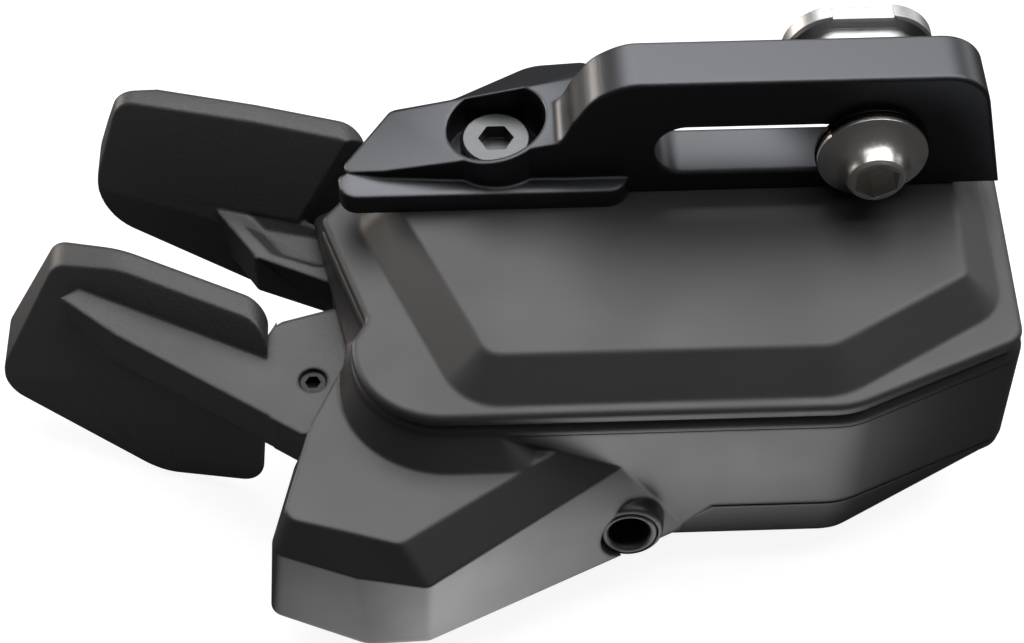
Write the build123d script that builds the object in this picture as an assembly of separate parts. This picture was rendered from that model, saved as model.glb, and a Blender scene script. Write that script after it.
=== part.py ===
from build123d import *
import os
from math import cos, hypot, radians, sin, tan

# Electronic shifter for a handlebar, in millimetres.
# The origin is on the clamp bolt's axis in the bracket's back face.
# +X runs right along the bracket's slot, +Y away from the rider's view, +Z up.

# Levels of the moulded body
LID_TOP = -5.65
RIM_TOP = -9.0
SEAM_TOP = -10.25
SEAM_GAP = 0.3
COLLAR = 1.3
CHIN_TOP = -14.0
CHIN_RIDGE = -17.0
BOTTOM_SEAM = -23.5
HOUSING_BOTTOM = -27.0
BELLY = -29.7
HOUSING_TOP = SEAM_TOP - SEAM_GAP
COLLAR_FOOT = HOUSING_TOP - COLLAR

# Plan of the lid's rim, and of the ridge where its raised field starts: x, y, corner radius
RIGHT = 14.3
REAR = 3.5
FRONT = -30.15
RIM = [(RIGHT, REAR, 3.0), (-46.5, REAR, 2.0), (-53.4, -5.2, 1.2), (-48.9, -18.2, 1.0),
       (-50.25, -20.8, 0.6), (-50.25, FRONT, 8.8), (-3.6, FRONT, 8.0), (13.6, -22.6, 2.6)]
RIDGE = [(12.6, 2.0, 4.4), (-44.4, 2.0, 4.4), (-50.3, -5.2, 4.4), (-39.85, -29.05, 5.7),
         (-4.3, -29.05, 8.0), (12.0, -19.4, 5.0)]
FIELD_RUN = 3.7
LID_WALL = 1.6
BODY_STEP = 0.25
BODY_LEAN = tan(radians(2.2))

# Circuit bay in the right half of the housing, open under the lid
BAY = [(11.6, 0.9, 2.0), (-33.6, 0.9, 1.0), (-33.6, -27.4, 1.0), (-5.0, -27.4, 4.0), (11.6, -19.9, 2.0)]
BAY_FLOOR = -21.5
BOARD_UNDER = -20.6
BOARD_THICK = 1.2
BOARD_CLEAR = 0.4
LIP = 1.1
LIP_DEPTH = 1.4
LIP_CLEAR = 0.15
SCREW_POSTS = [(9.0, -1.5), (-28.6, -1.5), (-5.0, -24.6), (-28.6, -18.4)]
POST_R = 2.5

# Lever bay in the left half, open to the left
LEVER_ROOF = -15.0
LEVER_FLOOR = -20.6
LEVER_BAY = [(-36.6, -0.8, 0.5), (-66.0, -0.8, 0.0), (-66.0, -29.5, 0.0), (-36.6, -29.5, 0.5)]
DIVIDER = [(-70.0, -9.7), (-50.0, -10.3), (-48.6, -11.0), (-50.0, -11.5), (-70.0, -11.4)]
LEVER_TOP = -15.3
LEVER_UNDER = -20.3
HUB_R = 5.2
HUB_UNDER = -18.4
PIVOT_UPPER = (-44.0, -6.5)
PIVOT_LOWER = (-43.5, -20.0)
AXLE_R = 1.5
AXLE_RUN = 0.05
AXLE_SEAT = 0.02
AXLE_TOP = -11.1
AXLE_FOOT = -24.0
CLIP_LEVEL = -12.0
CLIP_THICK = 0.5
CLIP_R = 2.6
BUSH_R = 2.15
SPRING_R = 3.7
SPRING_WIRE = 0.6
SPRING_TURNS = 2
SPRING_PITCH = 0.68
SPRING_LEG = 2.5

# Switches on the board and the rubber boots that the lever tabs press
SWITCH_Z = -17.9
SWITCH_BODY = (3.0, 5.0, 3.0)
SWITCH_FACE = -32.7
BOOT_PLUG_R = 1.9
BOOT_FLANGE_R = 2.7
BOOT_FLANGE = 0.6
TAB_OFFSET_UPPER = (5.2, -6.0)
TAB_OFFSET_LOWER = (4.7, -4.4)
TAB_HALF = 1.4

# Port for the wire, in the snout of the front wall
PORT = (-24.1, -33.5, -24.3)
PORT_TILT = 9.0
PORT_R = 2.05
PORT_DEPTH = 6.6
BUSH_WALL = 0.8
BUSH_FLOOR = 0.9
SNOUT_R = 3.3
SNOUT_ROOT_R = 3.9
SNOUT_LENGTH = 7.6

PIN_R = 0.5

# Bracket
PLATE_FRONT = -5.85
PLATE_TOP = 9.1
PLATE_RIGHT = 13.3
PLATE_CORNER = 5.5
SLOT_R = 3.05
SLOT_RIGHT = 0.0
SLOT_LEFT = -17.75
FOOT_SLOPE = tan(radians(13.0))
FOOT_START = (-30.5, 1.36)
FOOT_BACK_EDGE = 2.4
FOOT_FACET = tan(radians(18.0))
LEDGE_TOP = -3.38
LEDGE_FRONT = -7.95
SCREW_AT = (-35.9, -1.45)
POCKET_R = 4.85
POCKET_WALL = 0.5
M4_HEAD_R = 3.5
M4_HEAD = 2.6
M4_HEAD_TOP = -2.1
M4_R = 2.0
M4_KEY = 3.0
M4_LENGTH = 11.6
INSERT_R = 2.8
INSERT_LENGTH = 6.0
INSERT_WALL = 1.2
KEY_LENGTH = 12.0
KEY_WIDTH = 7.2
KEY_DEPTH = 1.2
KEY_CLEAR = 0.1

# Small screws under the lid and the bottom cover
M2_R = 1.0
M2_HEAD_R = 1.9
M2_HEAD = 1.3
M2_KEY = 1.5
COVER_SCREW_SEAT = -21.9
COVER_SCREW_TIP = -7.9
BOTTOM_SCREWS = [(-13.5, -4.5), (-7.5, -9.5), (-12.5, -25.5)]
BOTTOM_BOSS_R = 3.2
BOTTOM_SCREW_GRIP = 1.6
BOTTOM_COVER_FLOOR = 1.8
BOTTOM_GAP = 0.25

# Clamp bolt, washers and nut
M5_R = 2.5
FLARE_RIM_R = 5.3
FLARE_RIM_AT = -7.3
FLARE_END_R = 2.75
FLARE_END_AT = -10.5
M5_KEY = 4.0
WASHER_R = 5.45
WASHER = 0.5
WASHER_BORE = 2.7
WASHER_CONE = 0.22
HEAD_CLEAR = 0.05
NUT_NECK_R = 3.0
NUT_BODY = (10.4, 10.6)
NUT_BODY_AT = 2.2
NUT_FLANGE = (14.9, 13.4)
NUT_FLANGE_AT = 4.9
NUT_BACK = 7.0
NUT_NOTCH = (6.0, 0.35)

# Paddles
PADDLE_TOP_THICK = 2.5
PADDLE_FACE_LEAN = 30.0
PADDLE_FOOT_LEAN = 15.0
PADDLE_BACK_LEAN = 20.0
PADDLE_EDGE = 0.8
THUMB_R = 45.0
THUMB_DEPTH = 0.7
SET_SCREW_AT = (-54.3, -20.5)
SET_SCREW_R = 1.25
TONGUE_TOP = -17.4
TONGUE_UNDER = -18.9

# Lower paddle: outline seen from the front as x, z and corner radius, then points on its faces
LOWER_FACE = [(-59.1, -12.0, 1.2), (-74.0, -12.3, 8.0), (-81.2, -14.9, 3.0), (-88.0, -27.0, 2.4),
              (-71.0, -32.4, 7.0), (-60.2, -29.9, 3.2)]
LOWER_AZIMUTH = -116.6
LOWER_FACE_AT = (-59.8, -17.4, -15.3)
LOWER_FOOT_AT = (-73.1, -14.9, -21.8)
LOWER_FOOT_AZIMUTH = -111.0
LOWER_RIDGE_AT = (-68.3, -11.2, -12.3)

# Upper paddle, the same way
UPPER_FACE = [(-50.6, -8.0, 1.2), (-60.0, -7.0, 10.0), (-73.4, -7.35, 2.4), (-78.9, -17.8, 4.4),
              (-61.0, -22.9, 3.5), (-55.6, -20.6, 3.0)]
UPPER_AZIMUTH = -105.8
UPPER_FACE_AT = (-65.0, 2.0, -15.3)
UPPER_FOOT_AT = (-65.2, 1.4, -16.4)
UPPER_FOOT_AZIMUTH = -107.0
UPPER_RIDGE_AT = (-60.9, 5.8, -7.1)


# Helpers for outlines and simple solids

def outline(corners):
    """Flat shape through corners given as x, y and corner radius."""
    shape = Polygon(*[(x, y) for x, y, _ in corners], align=None)
    for x, y, radius in corners:
        if radius > 0:
            corner = shape.vertices().sort_by_distance((x, y, 0))[0]
            shape = fillet(corner, radius)
    return shape


def inset(corners, step, least=0.5):
    """The same outline with every side moved inwards by step."""
    moved = []
    for i, (x, y, radius) in enumerate(corners):
        xa, ya, _ = corners[i - 1]
        xb, yb, _ = corners[(i + 1) % len(corners)]
        ux, uy = (x - xa) / hypot(x - xa, y - ya), (y - ya) / hypot(x - xa, y - ya)
        vx, vy = (xb - x) / hypot(xb - x, yb - y), (yb - y) / hypot(xb - x, yb - y)
        scale = step / (1 + ux * vx + uy * vy)
        turn = 1 if ux * vy - uy * vx > 0 else -1
        moved.append((x - (uy + vy) * scale, y + (ux + vx) * scale, max(radius - turn * step, least)))
    return moved


def shrunk(corners, step):
    """Outline with its sides moved inwards by step, its arcs kept round."""
    return offset(outline(corners), amount=-step, kind=Kind.INTERSECTION)


def prism(shape, low, high):
    """Flat shape raised from one level to another."""
    return Pos(0, 0, low) * extrude(shape, amount=high - low, dir=(0, 0, 1))


def between(lower, low, upper, high):
    """Straight-sided solid from one outline up to another."""
    return loft([Pos(0, 0, low) * outline(lower), Pos(0, 0, high) * outline(upper)], ruled=True)


def pin(at, radius, low, high):
    """Upright cylinder."""
    return Pos(at[0], at[1], low) * Cylinder(radius, high - low, align=(Align.CENTER, Align.CENTER, Align.MIN))


def hexagon(width, low, high):
    """Hexagonal prism on the Z axis, width measured across flats."""
    return prism(RegularPolygon(width / 2, 6, major_radius=False), low, high)


def turned(points):
    """Solid of revolution about Z from radius and height pairs."""
    return revolve(Plane.XZ * Polygon(*points, align=None), axis=Axis.Z)


def facing(point, direction):
    """Placement whose Z axis points along the direction."""
    return Plane(origin=point, z_dir=direction).location


def trimmed(solid, point, azimuth, elevation):
    """Keeps what lies behind a plane, given by a point and the direction that it faces."""
    normal = (cos(radians(elevation)) * cos(radians(azimuth)),
              cos(radians(elevation)) * sin(radians(azimuth)), sin(radians(elevation)))
    return split(solid, bisect_by=Plane(origin=point, z_dir=normal), keep=Keep.BOTTOM)


def face_at(solid, level):
    """The largest upward flat face at one level."""
    flat = [f for f in solid.faces() if abs(f.center().Z - level) < 1e-3 and abs(f.normal_at().Z) > 0.999]
    return max(flat, key=lambda f: f.area)


# Moulded housing

def body_corners(level):
    """Housing wall at a level: the long walls lean out, the left side flares towards the chin."""
    flare = max(0.0, min(1.0, (COLLAR_FOOT - level) / (COLLAR_FOOT - CHIN_TOP)))
    lean = BODY_LEAN * (HOUSING_TOP - level)
    right = RIGHT + BODY_STEP
    rear = REAR + BODY_STEP + lean
    front = FRONT - BODY_STEP - lean
    return [(right, rear, 3.3), (-46.8, rear, 2.2),
            (-53.7 - 0.9 * flare, -5.2 + 4.2 * flare, 1.3), (-49.15 - 1.85 * flare, -18.2 + 0.8 * flare, 1.0),
            (-50.5 - 0.9 * flare, -20.8, 0.8), (-50.5 - 0.9 * flare, front, 9.1),
            (-3.4 + 0.1 * lean, front, 8.0), (13.85, -22.75 - 1.3 * lean, 2.8)]


def chin_band():
    """Sloped band between the lid's seam and the chin."""
    high = [(-50.5, -20.6, 0), (-50.5, FRONT - BODY_STEP, 9.1), (-36.4, FRONT - BODY_STEP, 0.5), (-36.4, -20.6, 0)]
    low = [(-51.6, -20.6, 0), (-52.5, -33.1, 10.8), (-32.8, -33.1, 3.0), (-32.8, -20.6, 0)]
    return between(low, CHIN_TOP, high, COLLAR_FOOT + 0.3)


def chin():
    """Wedge that stands out at the front left, with a broad chamfer round its top."""
    top = [(-51.2, -19.6, 0), (-54.3, -26.8, 5), (-56.7, -37.2, 1.6), (-51.6, -38.7, 4),
           (-46.0, -40.5, 1.2), (-29.6, -29.5, 0), (-31.6, -24.0, 0), (-46.0, -19.6, 0)]
    ridge = [(-51.9, -19.6, 0), (-55.5, -27.4, 5), (-58.1, -39.0, 1.6), (-50.0, -42.1, 4),
             (-43.4, -43.4, 1.2), (-23.3, -29.5, 0), (-31.6, -24.0, 0), (-46.0, -19.6, 0)]
    foot = [(-52.4, -19.6, 0), (-56.3, -28.0, 5), (-59.0, -39.2, 1.6), (-49.4, -43.2, 4),
            (-43.6, -43.0, 1.2), (-15.1, -29.5, 0), (-31.6, -24.0, 0), (-46.0, -19.6, 0)]
    return between(ridge, CHIN_RIDGE, top, CHIN_TOP) + between(foot, HOUSING_BOTTOM, ridge, CHIN_RIDGE)


def port_axis():
    """Placement on the port's mouth, Z pointing out of it."""
    return facing(PORT, (0, -cos(radians(PORT_TILT)), sin(radians(PORT_TILT))))


def snout():
    """Boss round the port with a soft rim."""
    boss = turned([(0, 0), (SNOUT_R, 0), (SNOUT_ROOT_R, -SNOUT_LENGTH), (0, -SNOUT_LENGTH)])
    rim = boss.edges().filter_by(GeomType.CIRCLE).sort_by(Axis.Z)[-1]
    return port_axis() * fillet(rim, 0.9)


def bottom_cut(gap=0.0):
    """Space under the right half that the bottom cover fills, with a slanted left end."""
    side = [(-15.9 - gap, BOTTOM_SEAM), (40, BOTTOM_SEAM), (40, BELLY - 4), (-24.6 - gap, BELLY - 4)]
    return Pos(0, 20, 0) * extrude(Plane.XZ * Polygon(*side, align=None), amount=70, dir=(0, -1, 0))


def housing_shell():
    """Outer form of the housing, still solid."""
    collar = prism(outline(body_corners(HOUSING_TOP)), COLLAR_FOOT, HOUSING_TOP)
    collar = fillet(collar.faces().sort_by(Axis.Z)[-1].edges(), 1.1)
    flare = between(body_corners(CHIN_TOP), CHIN_TOP, body_corners(COLLAR_FOOT), COLLAR_FOOT)
    lower = between(body_corners(HOUSING_BOTTOM), HOUSING_BOTTOM, body_corners(CHIN_TOP), CHIN_TOP)
    return collar + flare + lower + chin_band() + chin() - bottom_cut() + snout()


def main_housing():
    body = housing_shell()
    bay = outline(BAY) - Pos(*SCREW_AT) * Circle(INSERT_R + INSERT_WALL)
    for x, y in SCREW_POSTS:
        bay -= Pos(x, y) * Circle(POST_R)
    body -= prism(bay, BAY_FLOOR, HOUSING_TOP)
    body += board_rests()
    levers = outline(LEVER_BAY) - Polygon(*DIVIDER, align=None) - Pos(*SCREW_AT) * Circle(INSERT_R + INSERT_WALL)
    body -= prism(levers, LEVER_FLOOR, LEVER_ROOF)
    for at in (PIVOT_UPPER, PIVOT_LOWER):
        body -= pin(at, AXLE_R + AXLE_SEAT, AXLE_FOOT, HOUSING_TOP)
        body -= pin(at, CLIP_R + 0.4, CLIP_LEVEL, HOUSING_TOP)
    body -= seal_ring(SEAM_TOP)
    body -= pin(SCREW_AT, INSERT_R, HOUSING_TOP - INSERT_LENGTH, HOUSING_TOP)
    body -= pin(SCREW_AT, M4_R + 0.3, M4_HEAD_TOP - M4_HEAD - M4_LENGTH - 0.5, HOUSING_TOP)
    for x, y in SCREW_POSTS:
        body -= pin((x, y), M2_R + 0.1, HOUSING_BOTTOM - 1, HOUSING_TOP)
        body -= pin((x, y), M2_HEAD_R + 0.15, HOUSING_BOTTOM - 1, COVER_SCREW_SEAT)
    for offset, pivot in ((TAB_OFFSET_UPPER, PIVOT_UPPER), (TAB_OFFSET_LOWER, PIVOT_LOWER)):
        body -= boot_hole(pivot[1] + offset[1])
    for x, y in BOTTOM_SCREWS:
        body -= pin((x, y), M2_R + 0.02, BOTTOM_SEAM, BOTTOM_SEAM + BOTTOM_SCREW_GRIP + 0.2)
    body -= port_axis() * Pos(0, 0, -PORT_DEPTH - BUSH_FLOOR) * Cylinder(
        PORT_R + BUSH_WALL, PORT_DEPTH + BUSH_FLOOR + 1, align=(Align.CENTER, Align.CENTER, Align.MIN))
    body -= wire_way()
    return body


def board_rests():
    """Small ledges on the bay floor that carry the board."""
    rests = [Pos(x, y, BAY_FLOOR) * Box(3, 2.4, BOARD_UNDER - BAY_FLOOR, align=(Align.CENTER, Align.CENTER, Align.MIN))
             for x in (-20, 4) for y in (-0.4, -18.0)]
    return Part() + rests


def boot_hole(y):
    """Hole for a boot through the wall between the two bays."""
    wall = LEVER_BAY[0][0]
    return Pos(wall - 1, y, SWITCH_Z) * Rot(0, 90, 0) * Cylinder(
        BOOT_PLUG_R, BAY[1][0] - wall + 2, align=(Align.CENTER, Align.CENTER, Align.MIN))


def wire_way():
    """Channel from the port's inner end up into the circuit bay."""
    x, y, z = pin_knee()
    level = port_axis() * Pos(0, 0, -PORT_DEPTH - BUSH_FLOOR - 1.2) * Cylinder(
        PIN_R + 0.25, 1.3, align=(Align.CENTER, Align.CENTER, Align.MIN))
    return level + pin((x, y), PIN_R + 0.6, z - PIN_R - 0.6, BAY_FLOOR + 0.1)


def seal_ring(top):
    """Ring in the seam, shared by the seal and its groove."""
    shape = body_corners(HOUSING_TOP)
    ring = shrunk(shape, 1.3) - shrunk(shape, 1.3 + 1.1)
    return prism(ring, HOUSING_TOP - 0.7, top)


# Lid and its seal

def top_cover():
    field_top = inset(RIDGE, FIELD_RUN)
    lid = prism(outline(RIM), SEAM_TOP, RIM_TOP) + between(RIDGE, RIM_TOP, field_top, LID_TOP)
    ridge = face_at(lid, RIM_TOP).inner_wires()[0]
    lid = fillet(ridge.edges(), 0.5)
    lid = fillet(face_at(lid, RIM_TOP).outer_wire().edges(), 0.6)
    lid = fillet(face_at(lid, LID_TOP).edges(), 0.8)
    hollow = between(inset(RIDGE, 2 * LID_WALL), SEAM_TOP, inset(RIDGE, FIELD_RUN + 0.9), LID_TOP - LID_WALL)
    room = between(inset(RIDGE, 0.6), RIM_TOP, inset(RIDGE, FIELD_RUN + 0.6), LID_TOP - 0.3)
    room += prism(outline(inset(RIDGE, 1.0)), HOUSING_TOP, RIM_TOP)
    pads = pin(SCREW_AT, INSERT_R + INSERT_WALL, HOUSING_TOP, LID_TOP - LID_WALL / 2)
    pads += Pos(*SCREW_AT) * prism(SlotOverall(KEY_LENGTH + 3, KEY_WIDTH + 3), SEAM_TOP, LID_TOP - LID_WALL / 2)
    for x, y in SCREW_POSTS:
        pads += pin((x, y), POST_R, HOUSING_TOP, LID_TOP - LID_WALL / 2)
    lip = outline(inset(BAY, LIP_CLEAR)) - outline(inset(BAY, LIP_CLEAR + LIP))
    lip -= Pos(*SCREW_AT) * Circle(INSERT_R + INSERT_WALL + LIP_CLEAR)
    for x, y in SCREW_POSTS:
        lip -= Pos(x, y) * Circle(POST_R + LIP_CLEAR)
    lid = lid - hollow + (pads & room)
    lid += prism(lip, HOUSING_TOP - LIP_DEPTH, SEAM_TOP + 0.2)
    lid -= Pos(*SCREW_AT) * prism(SlotOverall(KEY_LENGTH + 2 * KEY_CLEAR, KEY_WIDTH + 2 * KEY_CLEAR),
                                  LID_TOP - KEY_DEPTH - KEY_CLEAR, LID_TOP)
    lid -= pin(SCREW_AT, M4_R + 0.25, HOUSING_TOP - 1, LID_TOP)
    for x, y in SCREW_POSTS:
        lid -= pin((x, y), M2_R + 0.02, HOUSING_TOP - 1, COVER_SCREW_TIP + 0.3)
    return lid


def cover_seal():
    return seal_ring(SEAM_TOP)


# Small screws

def small_screw(length):
    """Socket screw that points up, its head's underside at z = 0."""
    body = pin((0, 0), M2_HEAD_R, -M2_HEAD, 0)
    body = chamfer(body.edges().sort_by(Axis.Z)[0], 0.2)
    body += pin((0, 0), M2_R, 0, length)
    return body - hexagon(M2_KEY, -M2_HEAD - 0.1, -M2_HEAD / 2)


def cover_screws():
    screws = [Pos(x, y, COVER_SCREW_SEAT) * small_screw(COVER_SCREW_TIP - COVER_SCREW_SEAT)
              for x, y in SCREW_POSTS]
    return Compound(children=screws)


def bottom_screws():
    seat = BELLY + BOTTOM_COVER_FLOOR
    length = BOTTOM_SEAM + BOTTOM_SCREW_GRIP - seat
    return Compound(children=[Pos(x, y, seat) * small_screw(length) for x, y in BOTTOM_SCREWS])


# Bottom cover

def belly(rise):
    """Everything above the belly's profile, which climbs towards the right end."""
    side = [(-60, BELLY + rise), (-60, BOTTOM_SEAM + 1), (30, BOTTOM_SEAM + 1), (30, -24.4 + rise),
            (11.5, -24.9 + rise), (-4.5, BELLY + rise)]
    return Pos(0, 20, 0) * extrude(Plane.XZ * Polygon(*side, align=None), amount=70, dir=(0, -1, 0))


def bottom_cover():
    """Shallow lid under the right half, screwed on from below."""
    gap = BOTTOM_GAP
    wall = body_corners(BOTTOM_SEAM)
    foot = inset(wall, 0.8)
    body = between(foot, BELLY - 0.1, wall, BOTTOM_SEAM - gap)
    body &= belly(0)
    body &= bottom_cut(-gap)
    body = fillet(body.faces().sort_by(Axis.Z)[0].edges(), 0.6)
    body += prism(outline(inset(wall, 1.0)), BOTTOM_SEAM - gap, BOTTOM_SEAM) & bottom_cut(-1.2)
    hollow = between(inset(foot, 2.0), BELLY - 0.1, inset(wall, 2.0), BOTTOM_SEAM) & bottom_cut(-2.4)
    hollow &= belly(BOTTOM_COVER_FLOOR)
    for x, y in BOTTOM_SCREWS:
        hollow -= pin((x, y), BOTTOM_BOSS_R, BELLY, BOTTOM_SEAM)
    body -= hollow
    for x, y in BOTTOM_SCREWS:
        body -= pin((x, y), M2_R + 0.1, BELLY - 1, BOTTOM_SEAM)
        body -= pin((x, y), M2_HEAD_R + 0.15, BELLY - 1, BELLY + BOTTOM_COVER_FLOOR)
    return body


# Circuit board, switches, boots and contact

def circuit_board():
    shape = outline(inset(BAY, BOARD_CLEAR)) - Pos(*SCREW_AT) * Circle(INSERT_R + INSERT_WALL + BOARD_CLEAR)
    for x, y in SCREW_POSTS:
        shape -= Pos(x, y) * Circle(POST_R + BOARD_CLEAR)
    return prism(shape, BOARD_UNDER, BOARD_UNDER + BOARD_THICK)


def switch(y):
    """Tactile switch lying on the board, its plunger towards the lever bay."""
    deep, wide, high = SWITCH_BODY
    base = BOARD_UNDER + BOARD_THICK
    body = Pos(SWITCH_FACE, y, base) * Box(deep, wide, high, align=(Align.MIN, Align.CENTER, Align.MIN))
    body = chamfer(body.edges().filter_by(Axis.X), 0.3)
    plunger = Pos(SWITCH_FACE - 0.4, y, SWITCH_Z) * Rot(0, 90, 0) * Cylinder(
        0.8, 0.6, align=(Align.CENTER, Align.CENTER, Align.MIN))
    return body + plunger


def boot(y):
    """Rubber plug through the wall with a flange and a crown on the lever side."""
    wall = LEVER_BAY[0][0]
    inner = SWITCH_FACE - 0.4
    crown = BOOT_FLANGE + 0.6
    profile = [(0, wall - crown), (1.1, wall - crown), (1.6, wall - BOOT_FLANGE), (BOOT_FLANGE_R, wall - BOOT_FLANGE),
               (BOOT_FLANGE_R, wall), (BOOT_PLUG_R, wall), (BOOT_PLUG_R, BAY[1][0]), (0.9, BAY[1][0] + 0.2),
               (0.9, inner), (0, inner)]
    return Pos(0, y, SWITCH_Z) * Rot(0, 90, 0) * turned(profile)


def pin_knee():
    """Point under the board where the contact turns up."""
    depth = PORT_DEPTH + BUSH_FLOOR + 1.0
    x, y, z = PORT
    return x, y + depth * cos(radians(PORT_TILT)), z - depth * sin(radians(PORT_TILT))


def contact_pin():
    """Middle contact of the port, bent up to the board."""
    x, y, z = pin_knee()
    length = BUSH_FLOOR + 1.0
    level = port_axis() * Pos(0, 0, -PORT_DEPTH - length) * Cylinder(
        PIN_R, length, align=(Align.CENTER, Align.CENTER, Align.MIN))
    return level + Pos(x, y, z) * Sphere(PIN_R) + pin((x, y), PIN_R, z, BOARD_UNDER)


def port_bush():
    """Lining of the port, with a hole in its floor for the contact."""
    outer = PORT_R + BUSH_WALL
    profile = [(PIN_R + 0.02, -PORT_DEPTH - BUSH_FLOOR), (outer, -PORT_DEPTH - BUSH_FLOOR), (outer, -0.5),
               (outer - 0.3, 0), (PORT_R + 0.3, 0), (PORT_R, -0.3), (PORT_R, -PORT_DEPTH), (PIN_R + 0.02, -PORT_DEPTH)]
    return port_axis() * turned(profile)


# Axles, bushes, clips and springs

def axle(at):
    """Steel pin in the housing with a groove for its clip."""
    body = pin(at, AXLE_R, AXLE_FOOT, AXLE_TOP)
    body = chamfer(body.edges().filter_by(GeomType.CIRCLE), 0.25)
    ring = Circle(AXLE_R + 1) - Circle(AXLE_R - 0.35)
    return body - Pos(*at) * prism(ring, CLIP_LEVEL, CLIP_LEVEL + CLIP_THICK)


def axle_clips():
    """One open ring for each axle, in its groove."""
    ring = Circle(CLIP_R) - Circle(AXLE_R - 0.35) - Pos(0, -CLIP_R) * Rectangle(1.6, 2 * CLIP_R)
    clip = prism(ring, CLIP_LEVEL, CLIP_LEVEL + CLIP_THICK)
    return Compound(children=[Pos(*at) * clip for at in (PIVOT_UPPER, PIVOT_LOWER)])


def bush(at):
    ring = Circle(BUSH_R) - Circle(AXLE_R + AXLE_RUN)
    return Pos(*at) * prism(ring, HUB_UNDER, LEVER_TOP)


def torsion_spring(at, first_leg):
    """Two turns of wire round the axle, with a straight leg at each end."""
    height = SPRING_TURNS * SPRING_PITCH
    start = HUB_UNDER - SPRING_WIRE / 2 - 0.1 - height
    coil = Helix(SPRING_PITCH, height, SPRING_R)
    path = Wire([Line((coil @ 0) - (coil % 0) * SPRING_LEG, coil @ 0), coil,
                 Line(coil @ 1, (coil @ 1) + (coil % 1) * SPRING_LEG)])
    wire = sweep(Plane(origin=path @ 0, z_dir=path % 0) * Circle(SPRING_WIRE / 2), path=path)
    return Pos(at[0], at[1], start) * Rot(0, 0, first_leg) * wire


# Levers

def wire_profile(points, low, high):
    """Flat XZ outline given as corners, swept along Y from one depth to another."""
    shape = outline(points)
    return extrude(Pos(0, low, 0) * (Plane.XZ * shape), amount=high - low, dir=(0, 1, 0))


def paddle(face_outline, face_point, face_azimuth, foot_point, foot_azimuth, back_point):
    """Blade between a leaning front face, a steeper foot face and the thumb face behind."""
    blade = wire_profile(face_outline, -30, 20)
    blade = trimmed(blade, face_point, face_azimuth, PADDLE_FACE_LEAN)
    blade = trimmed(blade, foot_point, foot_azimuth, PADDLE_FOOT_LEAN)
    blade = trimmed(blade, back_point, face_azimuth + 180, -PADDLE_BACK_LEAN)
    return blade


def behind(point, azimuth, distance):
    """Point moved level, straight back from a face that looks along the azimuth."""
    return (point[0] - distance * cos(radians(azimuth)), point[1] - distance * sin(radians(azimuth)), point[2])


def thumb_scoop(centre, azimuth):
    """Large ball that hollows the thumb face."""
    lean = radians(-PADDLE_BACK_LEAN)
    turn = radians(azimuth + 180)
    normal = Vector(cos(lean) * cos(turn), cos(lean) * sin(turn), sin(lean))
    return Pos(*(Vector(*centre) + normal * (THUMB_R - THUMB_DEPTH))) * Sphere(THUMB_R)


def arm(corners):
    """Flat arm between the lever levels."""
    body = prism(outline(corners), LEVER_UNDER, LEVER_TOP)
    return body


def tab(pivot, offset, low, high):
    """Finger from a hub to the boot that it presses."""
    x, y = pivot[0] + offset[0], pivot[1] + offset[1]
    shape = Polygon((pivot[0] + 1.0, pivot[1] - 2.0), (x, y + TAB_HALF), (x, y - TAB_HALF),
                    (x - 2.4, y - TAB_HALF), (pivot[0] - 2.5, pivot[1] - 3.0), align=None)
    return prism(shape, low, high)


def hub(pivot, low):
    """Round hub with the bore for its bush."""
    return pin(pivot, HUB_R, low, LEVER_TOP)


def upper_lever():
    blade = paddle(UPPER_FACE, UPPER_FACE_AT, UPPER_AZIMUTH, UPPER_FOOT_AT, UPPER_FOOT_AZIMUTH,
                   behind(UPPER_RIDGE_AT, UPPER_AZIMUTH, PADDLE_TOP_THICK))
    blade = fillet(blade.edges(), PADDLE_EDGE)
    blade -= thumb_scoop(behind((-66.5, 4.0, -14.0), UPPER_AZIMUTH, 4.0), UPPER_AZIMUTH)
    room = prism(outline(inset(body_corners(CHIN_TOP), -1.4)), HOUSING_BOTTOM, RIM_TOP - 0.5)
    blade -= room
    px, py = PIVOT_UPPER
    lever = arm([(-64.6, 3.2, 0), (-64.6, 1.6, 0.6), (-60.5, -4.9, 1.0), (-53.0, -8.3, 0), (-49.5, -9.4, 1.0),
                 (px, py - HUB_R + 0.3, 0), (px, py + HUB_R - 0.1, 0), (-54.0, -1.1, 0), (-58.0, 2.0, 0)])
    lever -= Pos(*PIVOT_UPPER) * prism(Circle(HUB_R + 0.6), LEVER_UNDER, HUB_UNDER)
    lever = lever + hub(PIVOT_UPPER, HUB_UNDER) + tab(PIVOT_UPPER, TAB_OFFSET_UPPER, HUB_UNDER, LEVER_TOP) + blade
    recess = [(-50.0, -2.4, 0), (-61.1, 0.7, 0.4), (-61.1, -0.4, 0.3), (-58.3, -4.1, 1.0), (-54.3, -5.7, 1.0),
              (-50.0, -5.9, 0)]
    lever -= prism(outline(recess), LEVER_TOP - 1.2, LEVER_TOP)
    return lever - pin(PIVOT_UPPER, BUSH_R, LEVER_UNDER, LEVER_TOP)


def tongue_corners(clear=0.0):
    """Tongue of the carrier in plan, also used for its slot in the arm."""
    return [(-42.0, -15.9 + clear, 0), (-57.6 - clear, -17.9 + clear, 1.0), (-57.6 - clear, -23.1 - clear, 1.0),
            (-42.0, -24.2 - clear, 0)]


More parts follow.
